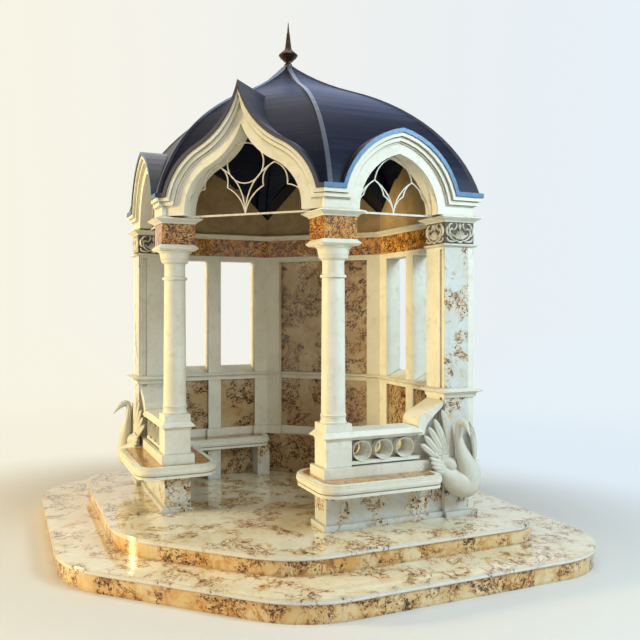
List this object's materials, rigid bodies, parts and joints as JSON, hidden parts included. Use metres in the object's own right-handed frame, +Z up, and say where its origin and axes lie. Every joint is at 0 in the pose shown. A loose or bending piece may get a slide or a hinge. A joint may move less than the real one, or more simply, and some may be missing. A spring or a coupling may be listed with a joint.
{
  "type": "garden gazebo",
  "caption": "Open stone garden gazebo on marble steps, with keel and pointed arches, columns, corner benches, swan carvings and a metal ogee dome.",
  "frame": {"origin": "centre of the plan, on the ground under the lower step", "axes": "+Z up, -Y out of the front opening, +X towards the right-hand pier"},
  "size_m": [6.2084, 4.5028, 5.4468],
  "materials": {
    "step_stone": "polished cream marble risers with rust veins",
    "step_marble": "polished cream marble with pale rounded edges",
    "wall_marble": "polished cream marble with rust veins",
    "panel_marble": "polished marble with brown and gold veins",
    "limestone": "honed cream limestone",
    "carved_stone": "carved cream limestone",
    "seat_marble": "polished golden-brown marble",
    "frieze_marble": "polished brown and orange granular marble",
    "gable_render": "matt grey-brown render",
    "white_metal": "white painted bars",
    "roof_metal": "dark blue-black metal sheet, semi-gloss",
    "bronze": "dark bronze"
  },
  "bodies": {
    "root": {"lower_step": "step_stone", "lower_tread": "step_marble", "upper_step": "step_stone", "floor_slab": "step_marble", "left_low_wall": "wall_marble", "right_low_wall": "wall_marble", "left_bench": "limestone", "right_bench": "limestone", "left_bench_top": "seat_marble", "right_bench_top": "seat_marble", "left_bench_legs": "wall_marble", "right_bench_legs": "wall_marble", "left_pedestal": "limestone", "right_pedestal": "limestone", "left_column": "limestone", "right_column": "limestone", "left_column_frieze": "frieze_marble", "right_column_frieze": "frieze_marble", "left_column_cornice": "limestone", "right_column_cornice": "limestone", "left_balustrade": "limestone", "right_balustrade": "limestone", "left_pier": "limestone", "right_pier": "limestone", "left_pier_facing": "wall_marble", "right_pier_facing": "wall_marble", "left_pier_frieze": "carved_stone", "right_pier_frieze": "carved_stone", "left_swan": "carved_stone", "right_swan": "carved_stone", "left_back_wall": "limestone", "right_back_wall": "limestone", "back_wall": "limestone", "wall_panels": "panel_marble", "back_friezes": "frieze_marble", "front_arch": "limestone", "left_front_arch": "limestone", "right_front_arch": "limestone", "back_arch": "limestone", "left_back_arch": "limestone", "right_back_arch": "limestone", "tympana": "gable_render", "front_tracery": "white_metal", "left_tracery": "white_metal", "right_tracery": "white_metal", "dome": "roof_metal", "dome_ribs": "roof_metal", "arch_roofs": "roof_metal", "finial": "bronze"}
  },
  "joints": []
}
